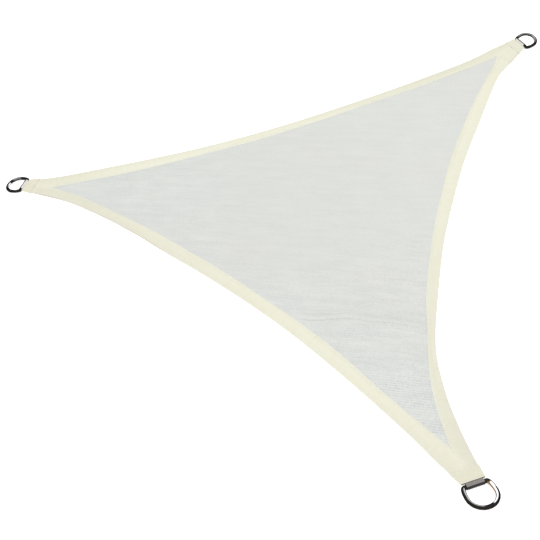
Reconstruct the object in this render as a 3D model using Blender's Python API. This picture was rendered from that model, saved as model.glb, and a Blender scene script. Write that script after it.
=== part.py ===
"""Triangular shade sail: a knitted panel in a cream edge binding, with a D ring at each corner.

The sail lies open and flat, top side up, on the plane z = 0. The origin is the middle of its
bounding box, at that plane. +Y points away from the near corner, +X from the left corner
to the far corner.
"""
import math

import bmesh
import bpy
import numpy as np

MM = 0.001

# Driving dimensions of the triangle
SIDE = 2000 * MM                 # straight distance from corner to corner
STATIONS = 34                    # steps along each edge
OUTLINE_STEPS = 700              # finer steps of the outer lines, which places are looked up on
CURVE_STEPS = 32                 # steps between two given points of a line

# Cloth layers
PANEL_THICK = 1.2 * MM
BINDING_THICK = 1.0 * MM
FIT_GAP = 0.3 * MM               # air between pieces that lie on each other
TUCKED = BINDING_THICK + FIT_GAP  # height of the panel above the binding's underside
BINDING_STACK = 2 * TUCKED + PANEL_THICK

# Places across a binding, as shares of its width from the panel outwards
MIDDLE = 0.5
PANEL_REACH = 0.86               # the panel's raw edge
SLOT_END = 0.88                  # the bottom of the fold that holds it
FOLD_START = 0.95                # where the cloth begins to turn over
FOLD_SHOULDER = 0.985
FOLD_LOW = 0.2                   # the shoulders' heights, as shares of the folded binding's
FOLD_HIGH = 0.8

# Mitred corners of the bindings, measured back from the corner point
TIP_HALF = 30 * MM               # half the width of the cloth at the corner point
BINDING_END = 20 * MM
MITRE_BACK = 62 * MM             # one more station between the pocket and the panel's tip
MITRE_GAP = 0.5 * MM             # air between two bindings along their mitre
TIP_CLEAR = 30 * MM              # given points closer to the panel's tip than this are left out

# Corner pocket
POCKET_THICK = 1.0 * MM
POCKET_BACK = 39 * MM            # from the corner point to the pocket's seam
POCKET_MOUTH = 2.2 * MM          # from the corner point to its open end
POCKET_STEPS = (POCKET_BACK, 30 * MM, BINDING_END, 11 * MM, POCKET_MOUTH)
POCKET_ROOM = 0.5 * MM           # air above and below the bindings inside it
POCKET_SIDE = 1.0 * MM           # air beside them
POCKET_EDGE = 2.0 * MM           # width of its blunt sides

# D ring
RING_WIRE = 11.5 * MM
RING_WIDTH = 86.5 * MM           # outside
RING_DEPTH = 77 * MM             # outside, from the bar to the far side
RING_WAIST = 30 * MM             # height of the widest place above the bar
RING_BAR = 60 * MM               # straight length of the bar
RING_TURN_STEPS = 6              # steps from the bar's end to the waist
RING_BOW_STEPS = 24              # steps of the half round end
RING_BEVEL = 3                   # roundness of the wire

# Webbing loop round the ring's bar
LOOP_THICK = 1.2 * MM
LOOP_WIDTH = 46 * MM
LOOP_LEG = 14 * MM               # length of the webbing's ends inside the pocket
LOOP_START = 1.5 * MM            # from the corner point to where its ends lie flat
LOOP_TURN = 142                  # degrees that it follows the bar, each way from the bar's far side
LOOP_STEPS = 16
BAR_HEIGHT = RING_WIRE / 2 + FIT_GAP + LOOP_THICK

# The cloth's underside at a corner, by distance from the corner point
RISE_COLUMNS = ("back", "height")
RISE_ROWS = [
    (0, 4.8),
    (20, 3.8),
    (39, 1.8),
    (80, 0.6),
    (150, 0.0),
]
TWIST_FADE = 240 * MM            # a twisted corner is flat again this far behind its point

SHARP_ANGLE = 40                 # degrees between faces that meet in a hard edge

# Each corner: direction from the middle of the triangle, heading of the ring, shift of the corner
# point (mm), the panel's tip behind that point and to its side (mm), twist (degrees)
CORNER_COLUMNS = ("name", "direction", "heading", "shift_x", "shift_y", "tip_back", "tip_side", "twist")
CORNER_ROWS = [
    ("left", 150, 147, 2, -7, 118, 6, 0),
    ("far", 30, 12, -14, -20, 114, 12, 7),
    ("near", -90, -90, -3, 3, 112, 13, 0),
]

# Each ring: slack of its webbing outwards and place along its bar (mm), lean of its bow (degrees)
RING_COLUMNS = ("slack", "side", "lean")
RING_ROWS = {"left": [(0, 0, -2)], "far": [(0, 5, -8)], "near": [(2.5, 0, -5)]}

# Each edge, from its first corner to its second: distance along the straight line between the
# corners, inset of the outer edge from that line, width of the binding, height of the soft
# ridge along its middle, all in mm
EDGE_COLUMNS = ("along", "inset", "width", "ridge")
EDGE_ROWS = {
    "back": [
        (120, 7, 57, 0),
        (200, 21, 58, 0),
        (360, 45, 60, 2),
        (520, 67, 53, 0),
        (680, 84, 46, 0),
        (880, 93, 44, 2),
        (1080, 90, 42, 0),
        (1280, 78, 40, 0),
        (1480, 61, 42, 2),
        (1660, 40, 45, 0),
        (1800, 19, 47, 0),
        (1880, 2, 51, 0),
    ],
    "right": [
        (120, 13, 66, 0),
        (180, 40, 52, 0),
        (236, 63, 43, 2),
        (360, 86, 46, 0),
        (540, 112, 52, 0),
        (760, 143, 48, 2),
        (980, 160, 44, 0),
        (1180, 167, 38, 2),
        (1380, 160, 35, 5),
        (1530, 150, 25, 7),
        (1630, 134, 26, 7),
        (1740, 99, 36, 5),
        (1820, 65, 42, 4),
        (1890, 30, 48, 2),
    ],
    "front": [
        (110, -11, 55, 0),
        (200, 8, 48, 2),
        (360, 34, 42, 0),
        (520, 56, 48, 0),
        (700, 75, 46, 2),
        (900, 84, 45, 0),
        (1100, 84, 48, 0),
        (1260, 78, 50, 2),
        (1420, 76, 45, 0),
        (1580, 65, 41, 0),
        (1720, 48, 43, 2),
        (1800, 31, 45, 0),
        (1890, 3, 56, 0),
    ],
}
EDGE_ENDS = {"back": ("left", "far"), "right": ("far", "near"), "front": ("near", "left")}

# Soft ridges of the panel: ends (mm from the middle of the triangle), height and half width (mm).
# All of them die out towards the bindings.
FOLD_COLUMNS = ("x1", "y1", "x2", "y2", "height", "half_width")
FOLD_ROWS = [
    (-250, -462, 92, -646, 7, 42),
    (-618, 449, -625, 330, 5, 45),
    (-520, 130, -180, 90, 4, 70),
    (-150, 330, 480, 60, 4, 110),
    (-330, -150, 260, -420, 5, 100),
    (330, 420, 640, 330, 4, 80),
]
FOLD_ENDS = 0.6                  # height left at a ridge's two ends, as a share of its height
FADE_ROWS = 4                    # rows of the panel over which the ridges die out

MATERIALS = {
    "knit": ((0.60, 0.61, 0.58), 0.75, 0.0),
    "binding": ((0.80, 0.79, 0.66), 0.7, 0.0),
    "pocket": ((0.76, 0.74, 0.60), 0.7, 0.0),
    "loop_light": ((0.84, 0.82, 0.76), 0.65, 0.0),
    "loop_dark": ((0.15, 0.145, 0.155), 0.8, 0.0),
    "steel": ((0.78, 0.78, 0.79), 0.12, 1.0),
}


def rows(columns, table):
    """A table's rows as dictionaries by column name."""
    return [dict(zip(columns, row)) for row in table]


def unit(degrees):
    """A flat unit vector in a direction."""
    angle = math.radians(degrees)
    return np.array([math.cos(angle), math.sin(angle)])


def smooth(value):
    """A soft step from 0 to 1."""
    value = np.clip(value, 0.0, 1.0)
    return value * value * (3 - 2 * value)


def through(points, count):
    """Even steps along a smooth curve through points (Catmull-Rom)."""
    points = np.array(points)
    padded = np.vstack([2 * points[0] - points[1], points, 2 * points[-1] - points[-2]])
    curve = [points[0]]
    for start in range(len(points) - 1):
        p0, p1, p2, p3 = padded[start:start + 4]
        for t in np.linspace(0, 1, CURVE_STEPS + 1)[1:]:
            curve.append(0.5 * (2 * p1 + (p2 - p0) * t + (2 * p0 - 5 * p1 + 4 * p2 - p3) * t ** 2
                                + (3 * p1 - p0 - 3 * p2 + p3) * t ** 3))
    curve = np.array(curve)
    lengths = np.concatenate([[0], np.cumsum(np.linalg.norm(np.diff(curve, axis=0), axis=1))])
    steps = np.linspace(0, lengths[-1], count)
    return np.column_stack([np.interp(steps, lengths, column) for column in curve.T])


def rise(distance):
    """Height of the cloth's underside at a distance from a corner point."""
    table = rows(RISE_COLUMNS, RISE_ROWS)
    backs = [row["back"] * MM for row in table]
    return float(np.interp(distance, backs, [row["height"] * MM for row in table]))


class Corner:
    """One corner of the sail, with a local frame: across the ring's bar, and out of the sail."""

    def __init__(self, row):
        self.name = row["name"]
        self.vertex = SIDE / math.sqrt(3) * unit(row["direction"])
        self.point = self.vertex + np.array([row["shift_x"], row["shift_y"]]) * MM
        self.out = unit(row["heading"])
        self.across = np.array([self.out[1], -self.out[0]])
        self.slope = math.tan(math.radians(row["twist"]))
        self.turn = math.cos(math.radians(row["twist"]))
        self.tip_back = row["tip_back"] * MM
        self.tip_side = row["tip_side"] * MM
        self.panel_tip = self.place(self.tip_side, -self.tip_back)
        ring = rows(RING_COLUMNS, RING_ROWS[self.name])[0]
        self.bar_out = RING_WIRE / 2 + ring["slack"] * MM
        self.ring_side = ring["side"] * MM
        self.lean = math.tan(math.radians(ring["lean"]))

    def local(self, xy):
        """Distances across the corner and out of it."""
        offset = np.asarray(xy) - self.point
        return float(offset @ self.across), float(offset @ self.out)

    def place(self, across, out):
        """The flat position of a local place."""
        return self.point + across * self.across + out * self.out

    def seam(self, back):
        """How far to the side the two bindings meet, at a distance behind the point."""
        return self.tip_side * max(back - BINDING_END, 0.0) / (self.tip_back - BINDING_END)

    def tilt(self, across, out):
        """Height that the corner's twist adds at a place, less and less towards the sail."""
        fade = 1 - smooth(max(-out, 0.0) / TWIST_FADE)
        return float(max(RING_WIDTH / 2 - across, 0.0) * self.slope * fade)

    def lift(self, xy):
        """How far the corner holds the cloth off the floor there."""
        across, out = self.local(xy)
        distance = math.hypot(max(-out, 0.0), max(abs(across) - RING_WIDTH / 2, 0.0))
        return rise(distance) + self.tilt(across, out)


class Edge:
    """One curved edge: its outer line and the inner line of its binding."""

    def __init__(self, name, corners):
        first, second = (corners[end] for end in EDGE_ENDS[name])
        self.ends = (first, second)
        self.start = first.vertex
        self.along = (second.vertex - first.vertex) / SIDE
        middle = -(first.vertex + second.vertex)
        self.inward = middle / np.linalg.norm(middle)
        table = rows(EDGE_COLUMNS, EDGE_ROWS[name])
        outer = [self.at(row["along"], row["inset"]) for row in table]
        tips = [self.tip(corner, outer[index]) for corner, index in ((first, 0), (second, -1))]
        self.outer = through([tips[0]] + outer + [tips[1]], OUTLINE_STEPS)
        inner = [self.at(row["along"], row["inset"] + row["width"]) for row in table]
        inner = [first.panel_tip] + self.between(inner) + [second.panel_tip]
        self.inner = through(inner, STATIONS + 1)
        self.ridge_along = [row["along"] * MM for row in table]
        self.ridge_height = [row["ridge"] * MM for row in table]

    def at(self, along, inset):
        """A flat position from distances in mm along the edge's straight line and inwards."""
        return self.start + along * MM * self.along + inset * MM * self.inward

    def reach(self, point):
        """A place's distance along the edge's straight line."""
        return float((point - self.start) @ self.along)

    def between(self, points):
        """The points that lie between the two tips of the panel."""
        low, high = (self.reach(corner.panel_tip) for corner in self.ends)
        return [p for p in points if low + TIP_CLEAR < self.reach(p) < high - TIP_CLEAR]

    def tip(self, corner, near_point):
        """The end of the outer line at a corner's point, on this edge's side."""
        side = math.copysign(TIP_HALF, corner.local(near_point)[0])
        return corner.place(side, 0.0)

    def outer_at(self, along):
        """The outer line where a distance along the straight line is reached."""
        reached = (self.outer - self.start) @ self.along
        return np.array([np.interp(along, reached, column) for column in self.outer.T])

    def opposite(self, inner):
        """The outer line across from a place on the inner line."""
        return self.outer_at(self.reach(inner))

    def outer_behind(self, corner, back):
        """The outer line at a distance behind a corner's point."""
        out = np.array([corner.local(p)[1] for p in self.outer])
        half = len(out) // 2
        if corner is self.ends[0]:
            picked, line = out[:half], self.outer[:half]
        else:
            picked, line = out[half:][::-1], self.outer[half:][::-1]
        return np.array([np.interp(back, -picked, column) for column in line.T])

    def stations(self):
        """Pairs of inner and outer points along the binding, from corner to corner."""
        backs = (BINDING_END, POCKET_BACK, MITRE_BACK)
        pairs = [self.mitre(self.ends[0], back) for back in backs]
        pairs += [(inner, self.opposite(inner)) for inner in self.inner]
        pairs += [self.mitre(self.ends[1], back) for back in reversed(backs)]
        return pairs

    def mitre(self, corner, back):
        """The binding's two edges across a corner, where two bindings meet along its middle."""
        outer = self.outer_behind(corner, back)
        side = math.copysign(MITRE_GAP / 2, corner.local(outer)[0])
        return corner.place(corner.seam(back) + side, -back), outer

    def ridge(self, inner):
        """Height of the binding's ridge at a station."""
        along = self.reach(inner)
        return float(np.interp(along, self.ridge_along, self.ridge_height, left=0.0, right=0.0))


def segment_distance(xy, start, end):
    """Distance to a straight piece, and how far along it, from 0 to 1."""
    span = end - start
    share = float(np.clip((xy - start) @ span / (span @ span), 0.0, 1.0))
    return float(np.linalg.norm(xy - start - share * span)), share


def fold_height(xy):
    """Height of the panel's soft folds above its lowest level."""
    height = 0.0
    for row in rows(FOLD_COLUMNS, FOLD_ROWS):
        start = np.array([row["x1"], row["y1"]]) * MM
        end = np.array([row["x2"], row["y2"]]) * MM
        distance, share = segment_distance(xy, start, end)
        profile = math.exp(-(distance / (row["half_width"] * MM)) ** 2)
        swell = FOLD_ENDS + (1 - FOLD_ENDS) * math.sin(math.pi * share)
        height += row["height"] * MM * profile * swell
    return height


def ground(corners, xy):
    """Height of the lowest cloth layer above the floor."""
    return max(corner.lift(xy) for corner in corners.values())


def new_object(name, mesh, material):
    """Link a mesh as a named object with its material."""
    mesh.materials.append(material)
    obj = bpy.data.objects.new(name, mesh)
    bpy.context.collection.objects.link(obj)
    return obj


def new_material(name):
    """A Principled material from the table."""
    colour, roughness, metallic = MATERIALS[name]
    material = bpy.data.materials.new(name)
    material.use_nodes = True
    shader = material.node_tree.nodes["Principled BSDF"]
    shader.inputs["Base Color"].default_value = (*colour, 1.0)
    shader.inputs["Roughness"].default_value = roughness
    shader.inputs["Metallic"].default_value = metallic
    material.diffuse_color = (*colour, 1.0)
    return material


def closed_mesh(name, bm):
    """Finish a closed bmesh with outward faces."""
    bmesh.ops.recalc_face_normals(bm, faces=bm.faces[:])
    mesh = bpy.data.meshes.new(name)
    bm.to_mesh(mesh)
    bm.free()
    mesh.shade_smooth()
    mesh.set_sharp_from_angle(angle=math.radians(SHARP_ANGLE))
    return mesh


def skin(bm, sections, closed=True):
    """Quads between neighbouring sections, each a ring of vertices."""
    for first, second in zip(sections, sections[1:]):
        count = len(first)
        for i in range(count if closed else count - 1):
            j = (i + 1) % count
            bm.faces.new((first[i], first[j], second[j], second[i]))


def loft(name, sections):
    """A closed body from equal closed sections with capped ends."""
    bm = bmesh.new()
    loops = [[bm.verts.new(point) for point in section] for section in sections]
    skin(bm, loops)
    bm.faces.new(loops[0][::-1])
    bm.faces.new(loops[-1])
    return closed_mesh(name, bm)


def binding_section(inner, outer, base_in, base_out, ridge):
    """The folded binding cut across at one station, open towards the panel."""
    top, leg = BINDING_STACK, BINDING_THICK
    profile = [
        (0.0, 0.0), (MIDDLE, 0.0), (FOLD_START, 0.0), (FOLD_SHOULDER, FOLD_LOW * top),
        (1.0, top / 2), (FOLD_SHOULDER, FOLD_HIGH * top), (FOLD_START, top), (MIDDLE, top),
        (0.0, top), (0.0, top - leg), (MIDDLE, top - leg), (SLOT_END, top - leg),
        (SLOT_END, leg), (MIDDLE, leg), (0.0, leg),
    ]
    section = []
    for share, height in profile:
        flat = inner + share * (outer - inner)
        section.append((*flat, underside(share, base_in, base_out, ridge) + height))
    return section


def underside(share, base_in, base_out, ridge):
    """Height of a binding's underside at a place across it."""
    crest = ridge * (1 - abs(share - MIDDLE) / MIDDLE)
    return base_in + share * (base_out - base_in) + crest


def make_binding(name, edge, corners, material):
    """One edge's binding: cream cloth folded round the panel's edge."""
    sections = []
    for inner, outer in edge.stations():
        base_in, base_out = ground(corners, inner), ground(corners, outer)
        sections.append(binding_section(inner, outer, base_in, base_out, edge.ridge(inner)))
    return new_object(name, loft(name, sections), material)


def panel_grid(edges):
    """Flat positions inside the bindings, on a triangular grid that follows all three edges."""
    back, right, front = (edges[name].inner for name in ("back", "right", "front"))
    left, far, near = back[0], right[0], front[0]

    def bulge(line, share):
        straight = line[0] + share * (line[-1] - line[0])
        place = share * STATIONS
        curved = [np.interp(place, np.arange(STATIONS + 1), column) for column in line.T]
        return np.array(curved) - straight

    grid = {}
    for i in range(STATIONS + 1):
        for j in range(STATIONS + 1 - i):
            b, c = i / STATIONS, j / STATIONS
            a = 1 - b - c
            place = a * left + b * far + c * near
            for line, start, end in ((back, a, b), (right, b, c), (front, c, a)):
                if start + end > 0:
                    place = place + (start + end) * bulge(line, end / (start + end))
            grid[i, j] = place
    return grid


def panel_sides():
    """Keys of the panel's grid along each edge, in the order of the edge's stations."""
    steps = range(STATIONS + 1)
    return {
        "back": [(i, 0) for i in steps],
        "right": [(STATIONS - i, i) for i in steps],
        "front": [(0, STATIONS - i) for i in steps],
    }


def make_panel(name, edges, corners, material):
    """The knitted panel, with soft folds, its edges tucked into the bindings."""
    bm = bmesh.new()
    sides = panel_sides()
    rim = {key for keys in sides.values() for key in keys}

    def pair(flat, low):
        return (bm.verts.new((*flat, low)), bm.verts.new((*flat, low + PANEL_THICK)))

    def sheet(pairs):
        bm.faces.new([high for low, high in pairs])
        bm.faces.new([low for low, high in reversed(pairs)])

    def wall(first, second):
        bm.faces.new((first[0], second[0], second[1], first[1]))

    verts = {}
    for (i, j), flat in panel_grid(edges).items():
        rest = ground(corners, flat)
        if (i, j) in rim:
            verts[i, j] = pair(flat, rest + TUCKED)
        else:
            fade = smooth(min(i, j, STATIONS - i - j) / FADE_ROWS)
            verts[i, j] = pair(flat, rest + fade * fold_height(flat))
    for i in range(STATIONS):
        for j in range(STATIONS - i):
            sheet([verts[i, j], verts[i + 1, j], verts[i, j + 1]])
            if i + j < STATIONS - 1:
                sheet([verts[i + 1, j], verts[i + 1, j + 1], verts[i, j + 1]])

    for side, edge in edges.items():
        hems = []
        for key, inner in zip(sides[side], edge.inner):
            outer = edge.opposite(inner)
            base_in, base_out = ground(corners, inner), ground(corners, outer)
            hem = [verts[key]]
            for share in (MIDDLE, PANEL_REACH):
                low = underside(share, base_in, base_out, edge.ridge(inner)) + TUCKED
                hem.append(pair(inner + share * (outer - inner), low))
            hems.append(hem)
        for first, second in zip(hems, hems[1:]):
            sheet([first[0], first[1], second[1], second[0]])
            sheet([first[1], first[2], second[2], second[1]])
            wall(first[2], second[2])
        for hem in (hems[0], hems[-1]):
            wall(hem[0], hem[1])
            wall(hem[1], hem[2])
    return new_object(name, closed_mesh(name, bm), material)


def binding_reach(corner, edges, back):
    """How far the bindings reach to either side of a corner's middle line."""
    reach = {}
    for edge in edges.values():
        if corner in edge.ends:
            across = corner.local(edge.outer_behind(corner, back))[0]
            reach[math.copysign(1, across)] = abs(across)
    return reach[-1.0], reach[1.0]


def pocket_loop(bm, corner, back, minus, plus, low, high):
    """A flat loop with blunt sides round a corner, at one distance behind its point."""
    middle = (low + high) / 2
    shape = [(-minus, middle), (POCKET_EDGE - minus, low), (0, low), (plus - POCKET_EDGE, low),
             (plus, middle), (plus - POCKET_EDGE, high), (0, high), (POCKET_EDGE - minus, high)]
    return [bm.verts.new((*corner.place(across, -back), height + corner.tilt(across, -back)))
            for across, height in shape]


def make_pocket(name, corner, edges, material):
    """The corner pocket: a flat sleeve of cloth over the bindings' ends."""
    bm = bmesh.new()
    outer_loops, inner_loops = [], []
    for back in POCKET_STEPS:
        minus, plus = (reach + POCKET_SIDE for reach in binding_reach(corner, edges, back))
        low = rise(back) - POCKET_ROOM
        high = rise(back) + BINDING_STACK + POCKET_ROOM
        inner_loops.append(pocket_loop(bm, corner, back, minus, plus, low, high))
        outer_loops.append(pocket_loop(bm, corner, back, minus + POCKET_THICK, plus + POCKET_THICK,
                                       low - POCKET_THICK, high + POCKET_THICK))
    skin(bm, outer_loops)
    skin(bm, inner_loops)
    for end in (0, -1):
        skin(bm, [outer_loops[end], inner_loops[end]])
    return new_object(name, closed_mesh(name, bm), material)


def make_loop(name, corner, material):
    """Webbing that goes round the ring's bar, with both ends inside the pocket."""
    inner_radius = RING_WIRE / 2 + FIT_GAP
    turn = math.radians(LOOP_TURN)
    angles = np.linspace(turn, -turn, LOOP_STEPS + 1)

    def round_bar(radius):
        return [(corner.bar_out + radius * math.cos(a), BAR_HEIGHT + radius * math.sin(a)) for a in angles]

    def leg(back, offset):
        return (-back, rise(back) + BINDING_STACK / 2 + offset)

    near, away = FIT_GAP / 2, FIT_GAP / 2 + LOOP_THICK
    mouth, tail = LOOP_START, LOOP_START + LOOP_LEG
    outline = [leg(tail, away), leg(mouth, away), *round_bar(inner_radius + LOOP_THICK),
               leg(mouth, -away), leg(tail, -away), leg(tail, -near), leg(mouth, -near),
               *reversed(round_bar(inner_radius)), leg(mouth, near), leg(tail, near)]
    sections = []
    for across in (-LOOP_WIDTH / 2, 0.0, LOOP_WIDTH / 2):
        sections.append([(*corner.place(across, out), height + corner.tilt(across, out))
                         for out, height in outline])
    return new_object(name, loft(name, sections), material)


def ring_line():
    """Centre line of a D ring: across and out of the corner, from one end of the bar round."""
    half_bar = RING_BAR / 2
    half_width = (RING_WIDTH - RING_WIRE) / 2
    bow = RING_DEPTH - RING_WIRE - RING_WAIST
    turns = [unit(angle) for angle in np.linspace(90, 0, RING_TURN_STEPS + 1)]
    rounding = [(half_bar + (half_width - half_bar) * x, RING_WAIST * (1 - y)) for x, y in turns]
    arc = [unit(angle) for angle in np.linspace(0, 180, RING_BOW_STEPS + 1)[1:-1]]
    line = [(across, 0.0) for across in np.linspace(-half_bar, half_bar, RING_TURN_STEPS + 1)]
    line += rounding[1:]
    line += [(half_width * x, RING_WAIST + bow * y) for x, y in arc]
    line += [(-across, out) for across, out in reversed(rounding[1:])]
    return line


def ring_points(corner):
    """A ring's centre line in place: out from the corner, resting on its far side."""
    drop = (BAR_HEIGHT - RING_WIRE / 2) / (RING_DEPTH - RING_WIRE)
    points = []
    for across, out in ring_line():
        across = corner.ring_side + (across + corner.lean * out) * corner.turn
        height = BAR_HEIGHT - drop * out + corner.tilt(across, out)
        points.append((*corner.place(across, corner.bar_out + out), height))
    return points


def make_ring(name, corner, material):
    """A welded D ring of round steel wire."""
    curve = bpy.data.curves.new(name, "CURVE")
    curve.dimensions = "3D"
    curve.bevel_depth = RING_WIRE / 2
    curve.bevel_resolution = RING_BEVEL
    points = ring_points(corner)
    spline = curve.splines.new("POLY")
    spline.points.add(len(points) - 1)
    for slot, point in zip(spline.points, points):
        slot.co = (*point, 1.0)
    spline.use_cyclic_u = True
    curve.materials.append(material)
    obj = bpy.data.objects.new(name, curve)
    bpy.context.collection.objects.link(obj)
    return obj


def middle_of_box(corners):
    """The middle of the sail's bounding box, which the three rings set."""
    points = np.array([point for corner in corners.values() for point in ring_points(corner)])
    return (points.min(axis=0) + points.max(axis=0)) / 2


def main():
    """Build every piece of the sail."""
    for obj in list(bpy.data.objects):
        bpy.data.objects.remove(obj, do_unlink=True)
    materials = {name: new_material(name) for name in MATERIALS}
    corners = {row["name"]: Corner(row) for row in rows(CORNER_COLUMNS, CORNER_ROWS)}
    edges = {name: Edge(name, corners) for name in EDGE_ENDS}
    pieces = [make_panel("knit_panel", edges, corners, materials["knit"])]
    for name, edge in edges.items():
        pieces.append(make_binding("binding_" + name, edge, corners, materials["binding"]))
    for name, corner in corners.items():
        webbing = "loop_dark" if name == "near" else "loop_light"
        pieces.append(make_pocket("pocket_" + name, corner, edges, materials["pocket"]))
        pieces.append(make_loop("loop_" + name, corner, materials[webbing]))
        pieces.append(make_ring("ring_" + name, corner, materials["steel"]))
    middle = middle_of_box(corners)
    for piece in pieces:
        piece.location = (-middle[0], -middle[1], 0.0)


main()
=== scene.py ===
import math

import bmesh
import bpy
import numpy as np
from bpy.props import FloatProperty, FloatVectorProperty, PointerProperty
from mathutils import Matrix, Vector


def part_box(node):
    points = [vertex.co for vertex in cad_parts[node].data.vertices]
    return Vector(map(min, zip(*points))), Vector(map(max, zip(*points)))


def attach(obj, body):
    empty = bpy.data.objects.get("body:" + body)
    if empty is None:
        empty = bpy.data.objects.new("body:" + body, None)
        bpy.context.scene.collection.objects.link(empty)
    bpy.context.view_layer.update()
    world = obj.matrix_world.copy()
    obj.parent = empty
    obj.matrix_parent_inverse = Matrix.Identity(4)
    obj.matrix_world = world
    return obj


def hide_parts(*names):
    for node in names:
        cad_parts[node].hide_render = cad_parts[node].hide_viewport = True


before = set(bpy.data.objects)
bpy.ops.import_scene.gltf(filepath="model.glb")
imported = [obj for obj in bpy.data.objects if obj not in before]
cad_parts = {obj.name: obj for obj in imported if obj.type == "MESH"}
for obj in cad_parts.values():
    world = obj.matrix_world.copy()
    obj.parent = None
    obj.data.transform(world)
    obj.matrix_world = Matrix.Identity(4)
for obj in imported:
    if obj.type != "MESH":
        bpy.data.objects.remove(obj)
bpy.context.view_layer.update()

bl_info = {
    "name": "Triangular shade sail",
    "version": (1, 0, 0),
    "blender": (4, 5, 0),
    "location": "3D View > Sidebar > Shade sail",
    "description": "Makes a knitted shade sail with bound edges, corner pockets, webbing and D rings",
    "category": "Add Mesh",
}

MM = 0.001

# The triangle, in the sail's own plane: origin at its middle, +Y away from the near corner
SIDE = 2000 * MM
CURVE_STEPS = 48
OUTLINE_STEPS = 1400
STATIONS = 240
MITRE_STEPS = 13
TIP_HALF = 30 * MM
TIP_CLEAR = 30 * MM
BINDING_END = 20 * MM
MITRE_GAP = 0.1 * MM

# Cloth layers, as in the frame's solids
PANEL_THICK = 1.2 * MM
BINDING_THICK = 1.0 * MM
FIT_GAP = 0.3 * MM
TUCKED = BINDING_THICK + FIT_GAP
STACK = 2 * TUCKED + PANEL_THICK
MIDDLE = 0.5
LIP_TAPER = 0.72 * MM
LIP_SHARE = 0.11
LIP_DROP = 0.2 * MM
PANEL_REACH = 0.86
SLOT_END = 0.88
FOLD_START = 0.95
HEM_SEAMS = (0.09, 0.21)

# Corner pieces
POCKET_BACK = 39 * MM
POCKET_MOUTH = 2.2 * MM
POCKET_THICK = 1.0 * MM
POCKET_ROOM = 0.5 * MM
POCKET_SIDE = 1.0 * MM
POCKET_SEAMS = (POCKET_BACK - 4 * MM, POCKET_BACK - 9 * MM, 19 * MM, 9 * MM)
POCKET_STEPS = 33
RING_WIRE = 11.5 * MM
RING_WIDTH = 86.5 * MM
RING_DEPTH = 77 * MM
RING_WAIST = 30 * MM
RING_BAR = 60 * MM
LOOP_THICK = 1.2 * MM
LOOP_WIDTH = 46 * MM
LOOP_LEG = 14 * MM
LOOP_START = 1.5 * MM
LOOP_TURN = 142
BAR_HEIGHT = RING_WIRE / 2 + FIT_GAP + LOOP_THICK
TWIST_FADE = 240 * MM

# Painted shade on each webbing: where it turns dark as it goes under its bar, and how softly, in degrees
LOOP_SHADE = {"near": (50, 16), "far": (98, 26), "left": (92, 24)}

# Height of the cloth's underside by distance from a corner point, mm
RISE_ROWS = [(0, 4.8), (20, 3.8), (39, 1.8), (80, 0.6), (150, 0.0)]

# Each corner's direction and heading, shift, how far back and to the side the panel's tip is, twist,
# and its ring's slack, place along the bar and lean (mm and degrees)
CORNER_ROWS = {
    "left": (150, 147, 2, -7, 118, 6, 0, 0, 0, -2),
    "far": (30, 12, -14, -20, 114, 12, 7, 0, 5, -8),
    "near": (-90, -90, -3, 3, 112, 13, 0, 2.5, 0, -5),
}

# Painted reflections on a ring's plating, light and amber bands: start, stop and softness round the ring (0
# right,
# 90 straight out), middle and half width round the wire (0 outside, 90 on top, 180 inside) in degrees, tone
# and amount
RING_PAINTED_REFLECTIONS = {
    "near": [
        (-46, 78, 12, 118, 26, "painted_glint", 0.62), (108, 216, 10, 112, 26, "painted_glint", 1.0),
        (184, 216, 8, 96, 34, "painted_glint", 1.0), (158, 224, 8, 150, 24, "painted_amber_glint", 1.0),
    ],
    "far": [
        (-36, 0, 12, 98, 26, "painted_glint", 0.34), (10, 112, 20, 120, 50, "painted_glint", 0.24),
        (100, 216, 20, 118, 32, "painted_glint", 0.22),
    ],
    "left": [
        (72, 150, 16, 166, 40, "painted_glint", 1.0), (-10, 60, 20, 120, 50, "painted_glint", 0.18),
        (190, 216, 8, 104, 30, "painted_glint", 0.42),
    ],
}

# Each edge's ends, and its points: distance along, inset, width of the binding, height of its ridge, mm
EDGE_ENDS = {"back": ("left", "far"), "right": ("far", "near"), "front": ("near", "left")}
EDGE_ROWS = {
    "back": [
        (120, 7, 57, 0), (200, 21, 58, 0), (360, 45, 60, 2), (520, 67, 53, 0), (680, 84, 46, 0),
        (880, 93, 44, 2), (1080, 90, 42, 0), (1280, 78, 40, 0), (1480, 61, 42, 2), (1660, 40, 45, 0),
        (1800, 19, 47, 0), (1880, 2, 51, 0),
    ],
    "right": [
        (120, 13, 66, 0), (180, 40, 52, 0), (236, 63, 43, 2), (360, 86, 46, 0), (540, 112, 52, 0),
        (760, 143, 48, 2), (980, 160, 44, 0), (1180, 167, 38, 2), (1380, 160, 35, 5), (1530, 150, 25, 7),
        (1630, 134, 26, 7), (1740, 99, 36, 5), (1820, 65, 42, 4), (1890, 30, 48, 2),
    ],
    "front": [
        (110, -11, 55, 0), (200, 8, 48, 2), (360, 34, 42, 0), (520, 56, 48, 0), (700, 75, 46, 2),
        (900, 84, 45, 0), (1100, 84, 48, 0), (1260, 78, 50, 2), (1420, 76, 45, 0), (1580, 65, 41, 0),
        (1720, 48, 43, 2), (1800, 31, 45, 0), (1890, 3, 56, 0),
    ],
}

# The panel's soft ridges as in the frame's solids: x and y of both ends, height, half width, mm
FOLD_ROWS = [
    (-250, -462, 92, -646, 4, 42), (-618, 449, -625, 330, 5, 45), (-520, 130, -180, 90, 4, 70),
    (-150, 330, 480, 60, 4, 110), (-330, -150, 260, -420, 5, 100), (330, 420, 640, 330, 4, 80),
]
FOLD_ENDS = 0.6
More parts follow.
